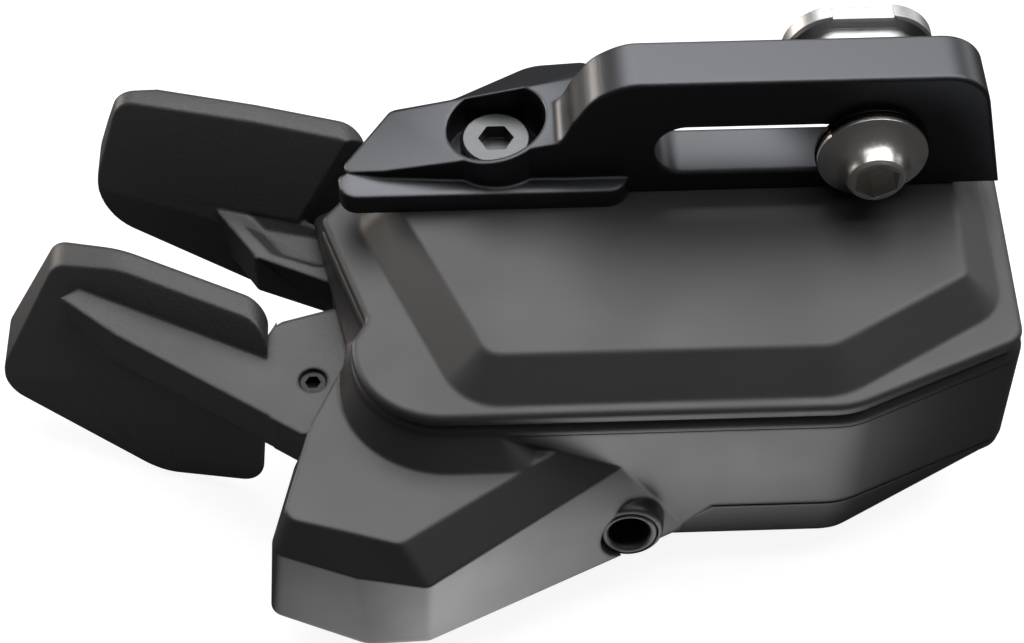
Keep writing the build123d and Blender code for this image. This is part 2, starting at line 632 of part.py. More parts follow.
def lower_paddle():
    blade = paddle(LOWER_FACE, LOWER_FACE_AT, LOWER_AZIMUTH, LOWER_FOOT_AT, LOWER_FOOT_AZIMUTH,
                   behind(LOWER_RIDGE_AT, LOWER_AZIMUTH, PADDLE_TOP_THICK))
    blade = fillet(blade.edges(), PADDLE_EDGE)
    blade -= thumb_scoop(behind((-72.5, -12.5, -21.0), LOWER_AZIMUTH, 4.6), LOWER_AZIMUTH)
    end = PIVOT_LOWER[0] - HUB_R - 0.6
    lever = arm([(-79.6, -9.4, 0), (-74.0, -14.2, 3.0), (-55.2, -27.0, 1.0), (end, -26.6, 0), (end, -12.2, 0),
                 (-52.4, -11.7, 0.6), (-57.8, -13.3, 1.5), (-59.5, -16.2, 1.0), (-64.0, -12.0, 0),
                 (-76.0, -7.0, 0)]) + blade
    lever -= prism(outline(tongue_corners(0.1)), TONGUE_UNDER, TONGUE_TOP + 0.1)
    lever -= pin(SET_SCREW_AT, SET_SCREW_R + 0.03, TONGUE_TOP, LEVER_TOP)
    lever -= pin(SET_SCREW_AT, SET_SCREW_R + 0.15, LEVER_TOP - 0.5, LEVER_TOP)
    return lever


def lower_carrier():
    """Steel hub plate that the lower paddle is clamped on."""
    body = hub(PIVOT_LOWER, HUB_UNDER) + prism(outline(tongue_corners()), TONGUE_UNDER, TONGUE_TOP)
    body += tab(PIVOT_LOWER, TAB_OFFSET_LOWER, HUB_UNDER, LEVER_TOP)
    body -= pin(PIVOT_LOWER, HUB_R - 0.6, LEVER_UNDER, HUB_UNDER)
    return body - pin(PIVOT_LOWER, BUSH_R, LEVER_UNDER, LEVER_TOP)


def paddle_screw():
    """Set screw down through the arm onto the tongue."""
    top = LEVER_TOP - 0.35
    body = pin((0, 0), SET_SCREW_R, TONGUE_TOP, top) - hexagon(1.3, top - 1.0, top + 0.1)
    return Pos(*SET_SCREW_AT) * body


# Bracket and its screw

def bracket():
    plate = bracket_plate()
    body = plate + bracket_foot()
    body -= prism(pocket_shape(), M4_HEAD_TOP - M4_HEAD, PLATE_TOP)
    body += Pos(*SCREW_AT) * prism(SlotOverall(KEY_LENGTH, KEY_WIDTH), LID_TOP - KEY_DEPTH, LID_TOP)
    return body - pin(SCREW_AT, M4_R + 0.2, LID_TOP - KEY_DEPTH, M4_HEAD_TOP - M4_HEAD)


def pocket_shape():
    """Round seat of the screw head, flattened where the foot's top ends."""
    flat = Pos(SCREW_AT[0], FOOT_BACK_EDGE + POCKET_R) * Rectangle(4 * POCKET_R, 2 * POCKET_R)
    return Pos(*SCREW_AT) * Circle(POCKET_R) - flat


def bracket_plate():
    """Upright plate with the slot, its left side swept down onto the foot."""
    x0, z0 = FOOT_START
    sweep_up = Spline((x0, z0), (-28.5, 4.5), (-26.4, 7.5), (-22.6, PLATE_TOP),
                      tangents=((1, FOOT_SLOPE), (1, 0)))
    corner = PLATE_CORNER
    right = [Line((-22.6, PLATE_TOP), (PLATE_RIGHT - corner, PLATE_TOP)),
             TangentArc((PLATE_RIGHT - corner, PLATE_TOP), (PLATE_RIGHT, PLATE_TOP - corner), tangent=(1, 0)),
             Line((PLATE_RIGHT, PLATE_TOP - corner), (PLATE_RIGHT, LID_TOP)),
             Line((PLATE_RIGHT, LID_TOP), (x0, LID_TOP)), Line((x0, LID_TOP), (x0, z0))]
    side = make_face(Curve() + [sweep_up] + right)
    slot = Pos((SLOT_LEFT + SLOT_RIGHT) / 2, 0) * SlotOverall(SLOT_RIGHT - SLOT_LEFT + 2 * SLOT_R, 2 * SLOT_R)
    plate = extrude(Plane.XZ * (side - slot), amount=-PLATE_FRONT, dir=(0, -1, 0))
    upright = plate.edges().filter_by(Axis.Z).group_by(Axis.X)[-1]
    plate = fillet(upright, 2.0)
    return plate


def bracket_foot():
    """Foot with a sloping top, a facet behind, a ledge in front and a bulge round the screw."""
    x0, z0 = FOOT_START
    shape = outline([(-26.5, PLATE_FRONT, 0), (-26.5, 5.1, 1.5), (-32.3, 6.5, 3.5), (-40.0, 2.5, 2.5),
                     (-46.6, 2.2, 1.0), (-50.7, -4.6, 1.0), (-47.0, -5.2, 3.0), (-40.0, -5.7, 3.0)])
    shape += Pos(*SCREW_AT) * Circle(POCKET_R + POCKET_WALL)
    body = prism(shape, LID_TOP, PLATE_TOP)
    top = Plane(origin=(x0, 0, z0), z_dir=(-FOOT_SLOPE, 0, 1))
    facet = Plane(origin=(x0, FOOT_BACK_EDGE, z0), z_dir=(-FOOT_SLOPE, FOOT_FACET, 1))
    body = split(body, bisect_by=top, keep=Keep.BOTTOM)
    body = split(body, bisect_by=facet, keep=Keep.BOTTOM)
    ledge = [(-22.6, PLATE_FRONT + 1, 0), (-50.7, -4.0, 0), (-50.9, LEDGE_FRONT, 1.8), (-24.0, LEDGE_FRONT, 2.0)]
    return body + prism(outline(ledge), LID_TOP, LEDGE_TOP)


def bracket_screw():
    """Low-head socket screw that holds the bracket and the lid."""
    seat = M4_HEAD_TOP - M4_HEAD
    head = pin((0, 0), M4_HEAD_R, seat, M4_HEAD_TOP)
    head = chamfer(head.edges().sort_by(Axis.Z)[-1], 0.3)
    body = head + pin((0, 0), M4_R, seat - M4_LENGTH, seat) - hexagon(M4_KEY, M4_HEAD_TOP - 1.6, M4_HEAD_TOP + 0.1)
    return Pos(*SCREW_AT) * body


def bracket_insert():
    """Threaded insert moulded into the housing."""
    ring = Circle(INSERT_R) - Circle(M4_R + 0.03)
    return Pos(*SCREW_AT) * prism(ring, HOUSING_TOP - INSERT_LENGTH, HOUSING_TOP)


# Clamp: built along Z and laid along -Y

def along_slot():
    """Placement on the clamp bolt's axis, Z pointing out of the front."""
    return facing((SLOT_RIGHT, 0, 0), (0, -1, 0))


def clamp_bolt():
    """Bolt with a trumpet-shaped head and a hexagon socket."""
    rim, end = -FLARE_RIM_AT, -FLARE_END_AT
    under = -PLATE_FRONT + 2 * WASHER + HEAD_CLEAR
    flare = Spline((FLARE_RIM_R, rim), (3.55, 8.35), (FLARE_END_R + 0.05, end - 0.35), tangents=((-1.0, 0.42), (-0.12, 1.0)))
    edge = [Line((0, under), (FLARE_RIM_R, under)), Line((FLARE_RIM_R, under), (FLARE_RIM_R, rim)),
            Line((FLARE_END_R + 0.05, end - 0.35), (FLARE_END_R - 0.25, end)),
            Line((FLARE_END_R - 0.25, end), (0, end)), Line((0, end), (0, under))]
    head = revolve(Plane.XZ * make_face(Curve() + [flare] + edge), axis=Axis.Z)
    bolt = head + pin((0, 0), M5_R, -NUT_BACK + 0.4, under) - hexagon(M5_KEY, end - 2.8, end + 0.1)
    return along_slot() * bolt


def washer_convex():
    ring = turned([(WASHER_BORE, WASHER_CONE), (WASHER_R - 0.15, 0), (WASHER_R - 0.15, WASHER), (WASHER_BORE, WASHER)])
    return along_slot() * Pos(0, 0, -PLATE_FRONT + WASHER + HEAD_CLEAR) * ring


def washer_concave():
    ring = turned([(WASHER_BORE, 0), (WASHER_R, 0), (WASHER_R, WASHER), (WASHER_BORE, WASHER + WASHER_CONE)])
    return along_slot() * Pos(0, 0, -PLATE_FRONT) * ring


def clamp_nut():
    """Wide nut that grips a brake clamp from behind, its neck guided by the slot."""
    width, height = NUT_FLANGE
    flange = RectangleRounded(width, height, 5.2) - Pos(0, height / 2) * Rectangle(NUT_NOTCH[0], 2 * NUT_NOTCH[1])
    plate = prism(flange, NUT_FLANGE_AT, NUT_BACK)
    plate = chamfer(plate.faces().sort_by(Axis.Z)[0].edges() + plate.faces().sort_by(Axis.Z)[-1].edges(), 0.3)
    body = plate + prism(RectangleRounded(*NUT_BODY, 2.5), NUT_BODY_AT, NUT_FLANGE_AT)
    body += pin((0, 0), NUT_NECK_R, PLATE_FRONT + 1.0, NUT_BODY_AT)
    body -= pin((0, 0), M5_R + 0.02, PLATE_FRONT, NUT_BACK + 1)
    return Pos(SLOT_RIGHT, 0, 0) * Rot(90, 0, 0) * mirror(body, Plane.XY)


def pieces():
    """Every node by name."""
    upper_y = PIVOT_UPPER[1] + TAB_OFFSET_UPPER[1]
    lower_y = PIVOT_LOWER[1] + TAB_OFFSET_LOWER[1]
    return {
        "main_housing": main_housing, "top_cover": top_cover, "bottom_cover": bottom_cover,
        "cover_seal": cover_seal, "circuit_board": circuit_board,
        "switch_upper": lambda: switch(upper_y), "switch_lower": lambda: switch(lower_y),
        "boot_upper": lambda: boot(upper_y), "boot_lower": lambda: boot(lower_y),
        "port_bush": port_bush, "contact_pin": contact_pin,
        "axle_upper": lambda: axle(PIVOT_UPPER), "axle_lower": lambda: axle(PIVOT_LOWER),
        "axle_clips": axle_clips,
        "bush_upper": lambda: bush(PIVOT_UPPER), "bush_lower": lambda: bush(PIVOT_LOWER),
        "spring_upper": lambda: torsion_spring(PIVOT_UPPER, 200),
        "spring_lower": lambda: torsion_spring(PIVOT_LOWER, 200),
        "upper_lever": upper_lever, "lower_paddle": lower_paddle, "lower_carrier": lower_carrier,
        "paddle_screw": paddle_screw,
        "bracket": bracket, "bracket_screw": bracket_screw, "bracket_insert": bracket_insert,
        "cover_screws": cover_screws, "bottom_screws": bottom_screws,
        "clamp_bolt": clamp_bolt, "washer_convex": washer_convex, "washer_concave": washer_concave,
        "clamp_nut": clamp_nut,
    }


os.makedirs("parts", exist_ok=True)
for name, make in pieces().items():
    export_step(make(), f"parts/{name}.step")
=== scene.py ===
# %% [markdown]
# An electronic gear shifter for a handlebar, dressed for a studio picture.
# The solids come in as a fixed frame that gives every place and size in metres. This lesson adds
# what solids can't say: what each surface is made of, how its edges were worked, the thread of
# the clamp bolt, and the light that shows all of it. The bracket and the two levers also get
# new meshes here, laid over the same solids, with the edges and leans that a close look shows.

# %% Frame
from math import cos, pi, radians, sin, tan

import bmesh
import bpy
from mathutils import Matrix, Vector


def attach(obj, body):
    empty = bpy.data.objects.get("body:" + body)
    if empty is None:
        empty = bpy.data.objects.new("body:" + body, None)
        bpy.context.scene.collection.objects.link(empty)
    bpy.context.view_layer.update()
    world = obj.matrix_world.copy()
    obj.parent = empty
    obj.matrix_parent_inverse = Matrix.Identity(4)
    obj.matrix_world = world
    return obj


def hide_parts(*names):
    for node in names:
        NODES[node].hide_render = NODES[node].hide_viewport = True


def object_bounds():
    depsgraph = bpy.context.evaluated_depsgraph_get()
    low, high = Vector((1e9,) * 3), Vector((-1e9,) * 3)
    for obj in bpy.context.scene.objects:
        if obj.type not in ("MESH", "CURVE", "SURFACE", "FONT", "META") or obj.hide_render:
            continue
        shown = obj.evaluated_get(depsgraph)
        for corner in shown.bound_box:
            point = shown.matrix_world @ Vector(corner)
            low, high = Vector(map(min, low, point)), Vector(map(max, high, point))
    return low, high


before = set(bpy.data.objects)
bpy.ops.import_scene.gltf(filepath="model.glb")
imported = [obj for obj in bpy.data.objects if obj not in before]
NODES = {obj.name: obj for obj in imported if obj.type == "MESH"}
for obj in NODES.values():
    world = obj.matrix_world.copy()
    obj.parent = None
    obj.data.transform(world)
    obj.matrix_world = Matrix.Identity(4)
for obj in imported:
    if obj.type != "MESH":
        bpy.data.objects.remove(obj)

MM = 0.001
cad_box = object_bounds()
print("solids:", len(NODES), "box in mm:", [round(v / MM, 1) for corner in cad_box for v in corner])

# %% [markdown]
# Colours are written as they look on a screen, in hexadecimal sRGB. Blender's shaders want
# linear light, so one function turns one into the other and no colour is written twice.
# A second small function adds a shader or geometry node, sets it and wires its inputs. With
# it a material reads from top to bottom like a recipe.

# %% Helpers for colours and nodes
def linear(hex_colour):
    """sRGB hex such as 'A0A0A0' as linear red, green, blue and alpha 1."""
    channels = [int(hex_colour[i:i + 2], 16) / 255 for i in (0, 2, 4)]
    return [c / 12.92 if c <= 0.04045 else ((c + 0.055) / 1.055) ** 2.4 for c in channels] + [1.0]


def add(tree, kind, inputs=None, **settings):
    """Adds one node; inputs maps a socket's name or number to a value or to another node's output."""
    node = tree.nodes.new(kind)
    for name, value in settings.items():
        setattr(node, name, value)
    for key, value in (inputs or {}).items():
        if isinstance(value, bpy.types.NodeSocket):
            tree.links.new(value, node.inputs[key])
        else:
            node.inputs[key].default_value = value
    return node


def new_material(name):
    """Empty node material with its output node, returned as material, tree and output."""
    material = bpy.data.materials.new(name)
    material.use_nodes = True
    material.node_tree.nodes.clear()
    return material, material.node_tree, material.node_tree.nodes.new("ShaderNodeOutputMaterial")


def per_metre(feature_mm):
    """Noise scale at which one feature is about this many millimetres wide."""
    return 1 / (feature_mm * MM)


# Nearly all values of a noise texture lie between these two
NOISE_LOW, NOISE_HIGH = 0.3, 0.7
print("the screen's middle grey is", round(linear("808080")[0], 3), "in linear light")

# %% [markdown]
# No moulded or machined edge is truly sharp: it has a small radius and catches a thin line of
# light. It could be modelled, but on every edge of every solid that costs many faces. A Bevel node
# only turns the shading normal where two faces meet, as far from the edge as its radius says, so
# every material starts its bump from one. Moulded edges are the softest, turned ones the
# sharpest.

# %% Soft edges
PLASTIC_EDGE_MM, ANODISED_EDGE_MM, METAL_EDGE_MM = 0.6, 0.45, 0.15


def soft_edge(tree, radius_mm):
    """Normal that turns gradually over an edge, as on a radius of this many millimetres."""
    return add(tree, "ShaderNodeBevel", {"Radius": radius_mm * MM}, samples=6).outputs["Normal"]


print("edge radii in mm:", PLASTIC_EDGE_MM, ANODISED_EDGE_MM, METAL_EDGE_MM)

# %% [markdown]
# The body and its lids are glass-filled nylon from a finely spark-eroded mould. The skin is
# satin: it blurs a reflection widely, so broad faces take the tone of the soft box behind them
# and chamfers turn dark. Two things break a perfect computer surface: a very fine grain, and a
# slow drift of the gloss over centimetres where the melt cooled unevenly.

# %% Moulded plastics
PLASTIC_IOR = 1.54
DRIFT_MM, GLOSS_DRIFT = 9.0, 0.04


def moulded_plastic(name, colour, roughness, grain_mm, grain_depth_mm):
    """Engineering plastic with a moulded grain, given by its width and its height."""
    material, tree, output = new_material(name)
    where = add(tree, "ShaderNodeTexCoord").outputs["Object"]
    slow = add(tree, "ShaderNodeTexNoise", {"Vector": where, "Scale": per_metre(DRIFT_MM), "Detail": 2.0})
    gloss = add(tree, "ShaderNodeMapRange", {
        "Value": slow.outputs["Fac"], "From Min": NOISE_LOW, "From Max": NOISE_HIGH,
        "To Min": roughness - GLOSS_DRIFT, "To Max": roughness + GLOSS_DRIFT})
    grain = add(tree, "ShaderNodeTexNoise", {"Vector": where, "Scale": per_metre(grain_mm), "Detail": 3.0,
                                             "Roughness": 0.6})
    bump = add(tree, "ShaderNodeBump", {
        "Height": grain.outputs["Fac"], "Strength": 1.0, "Distance": grain_depth_mm * MM,
        "Normal": soft_edge(tree, PLASTIC_EDGE_MM)})
    shader = add(tree, "ShaderNodeBsdfPrincipled", {
        "Base Color": linear(colour), "IOR": PLASTIC_IOR, "Roughness": gloss.outputs["Result"],
        "Normal": bump.outputs["Normal"]})
    tree.links.new(shader.outputs["BSDF"], output.inputs["Surface"])
    return material


# Body and bottom cover: a real satin grain is about 0.12 mm, drawn at 0.2 mm so that it shows
nylon_body = moulded_plastic("satin_glass_filled_nylon", "262628", roughness=0.42, grain_mm=0.2,
                             grain_depth_mm=0.002)
# Top cover: its half of the mould is better polished, so the grain is half as deep
nylon_lid = moulded_plastic("polished_mould_nylon", "323234", roughness=0.48, grain_mm=0.2,
                            grain_depth_mm=0.001)
# Paddles: a coarser moulded texture for grip, with pits of about 0.4 mm
nylon_paddle = moulded_plastic("textured_nylon", "303031", roughness=0.48, grain_mm=0.38,
                               grain_depth_mm=0.05)
print("plastics:", [m.name for m in (nylon_body, nylon_lid, nylon_paddle)])

# %% [markdown]
# The bracket is machined from aluminium bar, blasted with fine beads and then anodised black.
# Anodising keeps the metal's shape of highlight but dyes the layer, so it is modelled as a dark
# metal with medium roughness. The milling cutter ran along the edge, so faint lines cross the
# swept side from front to back; they show there as light and dark streaks.

# %% Anodised bracket
BLAST_MM, BLAST_GLOSS, BLAST_HEIGHT = 0.12, 0.04, 0.12
CUTTER_LINE_MM, CUTTER_LINE_STRETCH, CUTTER_LINE_DEPTH_MM = 0.6, 0.03, 0.02
# The swept side is where the surface turns this far to the left
SWEPT_FROM, SWEPT_FULLY = -0.35, -0.6


def anodised_aluminium(name, colour, roughness):
    """Dyed anodised layer on blasted aluminium, with cutter lines along Y where the side curves."""
    material, tree, output = new_material(name)
    coordinates = add(tree, "ShaderNodeTexCoord").outputs
    where = coordinates["Object"]
    blast = add(tree, "ShaderNodeTexNoise", {"Vector": where, "Scale": per_metre(BLAST_MM), "Detail": 2.0})
    stretched = add(tree, "ShaderNodeMapping", {"Vector": where, "Scale": (1.0, CUTTER_LINE_STRETCH, 1.0)})
    lines = add(tree, "ShaderNodeTexNoise", {
        "Vector": stretched.outputs["Vector"], "Scale": per_metre(CUTTER_LINE_MM), "Detail": 2.0})
    facing = add(tree, "ShaderNodeSeparateXYZ", {"Vector": coordinates["Normal"]})
    curved = add(tree, "ShaderNodeMapRange", {
        "Value": facing.outputs["X"], "From Min": SWEPT_FROM, "From Max": SWEPT_FULLY})
    cut = add(tree, "ShaderNodeMath", {0: lines.outputs["Fac"], 1: curved.outputs["Result"]},
              operation="MULTIPLY")
    both = add(tree, "ShaderNodeMath", {0: blast.outputs["Fac"], 1: BLAST_HEIGHT, 2: cut.outputs["Value"]},
               operation="MULTIPLY_ADD")
    bump = add(tree, "ShaderNodeBump", {
        "Height": both.outputs["Value"], "Strength": 1.0, "Distance": CUTTER_LINE_DEPTH_MM * MM,
        "Normal": soft_edge(tree, ANODISED_EDGE_MM)})
    gloss = add(tree, "ShaderNodeMapRange", {
        "Value": blast.outputs["Fac"], "From Min": NOISE_LOW, "From Max": NOISE_HIGH,
        "To Min": roughness - BLAST_GLOSS, "To Max": roughness + BLAST_GLOSS})
    shader = add(tree, "ShaderNodeBsdfPrincipled", {
        "Base Color": linear(colour), "Metallic": 1.0, "Roughness": gloss.outputs["Result"],
        "Normal": bump.outputs["Normal"]})
    tree.links.new(shader.outputs["BSDF"], output.inputs["Surface"])
    return material


# Bracket: black dye over blasted aluminium still mirrors about a tenth of the light
black_anodised = anodised_aluminium("black_anodised_aluminium", "525356", roughness=0.38)
print("bracket finish:", black_anodised.name)

# %% [markdown]
# The fasteners are plain or thinly coated metal. A coat of oxide or a polish changes colour and
# gloss but not the kind of surface, so one recipe serves them all: a metal with a grain of a
# third of a millimetre, which moves its roughness up and down by about a seventh.

# %% Bare and coated metals
METAL_GRAIN_MM, METAL_GRAIN_DEPTH_MM = 0.3, 0.001
DULLER, GLOSSIER = 1.15, 0.85


def bare_metal(name, colour, roughness):
    """Uncoated or thinly coated metal with a faint worked grain."""
    material, tree, output = new_material(name)
    where = add(tree, "ShaderNodeTexCoord").outputs["Object"]
    grain = add(tree, "ShaderNodeTexNoise", {"Vector": where, "Scale": per_metre(METAL_GRAIN_MM),
                                             "Detail": 3.0})
    bump = add(tree, "ShaderNodeBump", {
        "Height": grain.outputs["Fac"], "Strength": 1.0, "Distance": METAL_GRAIN_DEPTH_MM * MM,
        "Normal": soft_edge(tree, METAL_EDGE_MM)})
    gloss = add(tree, "ShaderNodeMapRange", {
        "Value": grain.outputs["Fac"], "From Min": NOISE_LOW, "From Max": NOISE_HIGH,
        "To Min": roughness * GLOSSIER, "To Max": roughness * DULLER})
    shader = add(tree, "ShaderNodeBsdfPrincipled", {
        "Base Color": linear(colour), "Metallic": 1.0, "Roughness": gloss.outputs["Result"],
        "Normal": bump.outputs["Normal"]})
    tree.links.new(shader.outputs["BSDF"], output.inputs["Surface"])
    return material


# Clamp bolt: turned stainless steel, polished but far from a mirror, a little warm
polished_steel = bare_metal("polished_stainless_steel", "E4E1DC", roughness=0.33)
# Clamp nut: aluminium tumbled with stones, which dulls it evenly
bright_aluminium = bare_metal("tumbled_aluminium", "BDBDBE", roughness=0.4)
# Bracket screw and switch housings: a thin black oxide skin that still shows the steel
black_oxide = bare_metal("black_oxide_steel", "5E5F60", roughness=0.38)
# Set screw and washers: darker blackened steel; on the set screw, deep in its recess, that darkness is
# painted shade
blackened_and_painted_shade = bare_metal("blackened_steel", "2E2E30", roughness=0.4)
# Axles, clips, springs, carrier and cover screws: ground or drawn steel
plain_steel = bare_metal("ground_steel", "B4B4B6", roughness=0.3)
# Wire contact and the insert that takes the bracket screw
turned_brass = bare_metal("turned_brass", "C8A35A", roughness=0.28)
METALS = (polished_steel, bright_aluminium, black_oxide, blackened_and_painted_shade, plain_steel, turned_brass)
print("metals:", [m.name for m in METALS])

# %% [markdown]
# Inside there are rubber boots, a seal, acetal bushes and a circuit board. Little of that can be
# seen, but a cut or a pressed lever would show it, so each still gets what it is made of. Then
# every solid is given its finish by name.

# %% Inner materials
# Boots and seal: soft silicone with a dull skin
rubber = moulded_plastic("silicone_rubber", "18181A", roughness=0.6, grain_mm=0.3, grain_depth_mm=0.003)
# Bushes: undyed acetal, smooth and slightly waxy
acetal = moulded_plastic("natural_acetal", "D8D5CB", roughness=0.4, grain_mm=0.3, grain_depth_mm=0.001)
# Circuit board: glossy green lacquer over the glass cloth's weave
solder_mask = moulded_plastic("green_solder_mask", "1E5A35", roughness=0.25, grain_mm=0.6,
                              grain_depth_mm=0.002)

FINISH = {
    nylon_body: ["main_housing", "bottom_cover", "port_bush"],
    nylon_lid: ["top_cover"],
    nylon_paddle: ["upper_lever", "lower_paddle"],
    black_anodised: ["bracket"],
    black_oxide: ["bracket_screw", "switch_upper", "switch_lower"],
    blackened_and_painted_shade: ["paddle_screw", "washer_convex", "washer_concave"],
    polished_steel: ["clamp_bolt"],
    bright_aluminium: ["clamp_nut"],
    plain_steel: ["axle_upper", "axle_lower", "axle_clips", "spring_upper", "spring_lower", "lower_carrier",
                  "cover_screws", "bottom_screws"],
    turned_brass: ["contact_pin", "bracket_insert"],
    rubber: ["cover_seal", "boot_upper", "boot_lower"],
    acetal: ["bush_upper", "bush_lower"],
    solder_mask: ["circuit_board"],
}
for material, names in FINISH.items():
    for name in names:
        NODES[name].data.materials.clear()
        NODES[name].data.materials.append(material)
print("finished solids:", sum(len(names) for names in FINISH.values()))

# %% [markdown]
# The bracket and the two levers are what the eye meets first, and their edges decide whether they
# look real. The solids give their size, place and motion. Here each gets a mesh with worked
# edges: a cutter's tiny chamfer on the aluminium, a generous moulded radius on the levers.
# They grow from the same few steps as in a workshop: draw an outline with rounded corners, raise
# it, saw it along planes, round the edges, then join or cut. Lengths stay in millimetres until
# a mesh is finished. The first two steps draw an outline and raise it.

# %% Outlines and raised bodies
ARC_STEPS = 10
# Points of one body that lie closer than this many millimetres are the same point
SAME_POINT = 1e-4


def rounded(corners):
    """Outline with round corners, from x, y and radius; every corner gets as many points."""
    points = []
    for i, (x, y, radius) in enumerate(corners):
        here = Vector((x, y))
        back = (Vector(corners[i - 1][:2]) - here).normalized()
        ahead = (Vector(corners[(i + 1) % len(corners)][:2]) - here).normalized()
        half = back.angle(ahead) / 2
        if radius == 0:
            points += [here] * (ARC_STEPS + 1)
            continue
        centre = here + (back + ahead).normalized() * (radius / sin(half))
        arm = here + back * (radius / tan(half)) - centre
        sweep = (pi - 2 * half) * (1 if back.cross(ahead) < 0 else -1)
        for k in range(ARC_STEPS + 1):
            angle = sweep * k / ARC_STEPS
            points.append(centre + Vector((arm.x * cos(angle) - arm.y * sin(angle),
                                           arm.x * sin(angle) + arm.y * cos(angle))))
    return points


def stacked(levels):
    """Closed body through outlines with equally many points, each with its height."""
    body = bmesh.new()
    rings = [[body.verts.new((x, y, z)) for x, y in points] for points, z in levels]
    for low, high in zip(rings, rings[1:]):
        for i in range(len(low)):
            j = (i + 1) % len(low)
            body.faces.new((low[i], low[j], high[j], high[i]))
    body.faces.new(rings[0][::-1])
    body.faces.new(rings[-1])
    bmesh.ops.remove_doubles(body, verts=body.verts, dist=SAME_POINT)
    bmesh.ops.recalc_face_normals(body, faces=body.faces)
    return body


print("a rounded corner has", ARC_STEPS + 1, "points")

# %% [markdown]
# The next steps take away: a saw that cuts along a plane and closes the cut, and a file that
# rounds the edges left behind. Planes are given by the two angles in which they face, because
# that is how a leaning face is measured on a part.

# %% Saw and file
# Points this close to the saw's plane, in millimetres, count as on it
ON_PLANE = 1e-5


def direction(azimuth, elevation):
    """Unit vector from two angles in degrees."""
    level = cos(radians(elevation))
    return Vector((level * cos(radians(azimuth)), level * sin(radians(azimuth)), sin(radians(elevation))))


def sawn(body, point, normal):
    """Takes away what lies in front of a plane and closes the cut."""
    cut = bmesh.ops.bisect_plane(body, geom=body.verts[:] + body.edges[:] + body.faces[:], plane_co=point,
                                 plane_no=normal, clear_outer=True, dist=ON_PLANE)
    edges = [e for e in cut["geom_cut"] if isinstance(e, bmesh.types.BMEdge)]
    bmesh.ops.contextual_create(body, geom=edges)
    bmesh.ops.remove_doubles(body, verts=body.verts, dist=SAME_POINT)
    bmesh.ops.recalc_face_normals(body, faces=body.faces)
    return body


def eased(body, radius, steps=4, least_turn=25, chosen=lambda edge: True):
    """Rounds the chosen edges that turn by more than an angle in degrees."""
    sharp = [e for e in body.edges if len(e.link_faces) == 2 and e.calc_face_angle() > radians(least_turn)
             and chosen(e)]
    bmesh.ops.bevel(body, geom=sharp, offset=radius, segments=steps, profile=0.5, affect="EDGES",
                    clamp_overlap=True)
    return body


print("a plane at 0 and 30 degrees faces", [round(v, 2) for v in direction(0, 30)])

# %% [markdown]
# Last comes assembly. The exact boolean joins or cuts closed bodies without a seam. Finishing
# welds stray points, marks as sharp what turns by more than about 30 degrees, so that flat faces
# stay flat beside small radii, and counts open edges. That count has to be zero.

# %% Assembly and finishing
# Points of a joined mesh that lie closer than this many millimetres are welded
WELD = 0.002


def as_object(body, name="blank"):
    """Object from a body in millimetres, its mesh in metres."""
    bmesh.ops.scale(body, vec=(MM, MM, MM), verts=body.verts)
    mesh = bpy.data.meshes.new(name)
    body.to_mesh(mesh)
    body.free()
    made = bpy.data.objects.new(name, mesh)
    bpy.context.scene.collection.objects.link(made)
    return made


def joined(base, others, operation="UNION"):
    """Adds other bodies to one, or cuts them away; the others are used up."""
    for other in others:
        step = base.modifiers.new("step", "BOOLEAN")
        step.operation, step.solver, step.object = operation, "EXACT", other
        mesh = bpy.data.meshes.new_from_object(base.evaluated_get(bpy.context.evaluated_depsgraph_get()))
        base.modifiers.remove(step)
        base.data = mesh
        bpy.data.objects.remove(other)
    return base


def finished(piece, name, material, smooth_below=32):
    """Cleans a body, smooths it up to an angle and gives it its name and finish."""
    body = bmesh.new()
    body.from_mesh(piece.data)
    bmesh.ops.remove_doubles(body, verts=body.verts, dist=WELD * MM)
    bmesh.ops.delete(body, geom=[edge for edge in body.edges if not edge.link_faces], context="EDGES")
    bmesh.ops.recalc_face_normals(body, faces=body.faces)
    for edge in body.edges:
        edge.smooth = len(edge.link_faces) == 2 and edge.calc_face_angle() < radians(smooth_below)
    for face in body.faces:
        face.smooth = True
    open_edges = sum(len(edge.link_faces) != 2 for edge in body.edges)
    body.to_mesh(piece.data)
    body.free()
    piece.name = piece.data.name = name
    piece.data.materials.clear()
    piece.data.materials.append(material)
    print(name, "faces", len(piece.data.polygons), "open edges", open_edges)
    return piece


# %% [markdown]
# The bracket is one milling: an upright plate with a slot, swept down at its left into a low foot
# with a sloping top and a thin ledge. All sizes are in millimetres in the solids' own frame: the
# clamp bolt's axis is at 0, 0 and the plate's back face at y 0. Plate and ledge get the 0.25 mm
# that a chamfer cutter leaves, and the Bevel node softens the other edges. A swept line through
# a few points and a plain circle are all the curves it needs.

# %% Bracket sizes and curves
PLATE_FRONT, PLATE_TOP = -5.85, 9.1
# The right end leans: 9.9 at the top's height, 13.3 where it meets the lid
PLATE_CORNER, PLATE_CORNER_R, PLATE_RIGHT = 9.9, 4.5, 13.3
LID_TOP = -5.65
CUTTER_CHAMFER = 0.25
FOOT_START = (-30.5, 1.36)
FOOT_SLOPE, FOOT_FACET, FOOT_BACK_EDGE = tan(radians(13.0)), tan(radians(18.0)), 2.4
SCREW_AT, POCKET_R, POCKET_WALL, POCKET_FLOOR = (-35.9, -1.45), 4.85, 0.5, -4.7
SLOT_LEFT, SLOT_RIGHT, SLOT_R = -17.75, 0.0, 3.05
LEDGE_TOP, LEDGE_FRONT = -3.38, -7.7
# Swept side from foot to plate top, in x and z
SWEPT_SIDE = [FOOT_START, (-28.5, 4.5), (-26.4, 7.5), (-22.6, PLATE_TOP)]
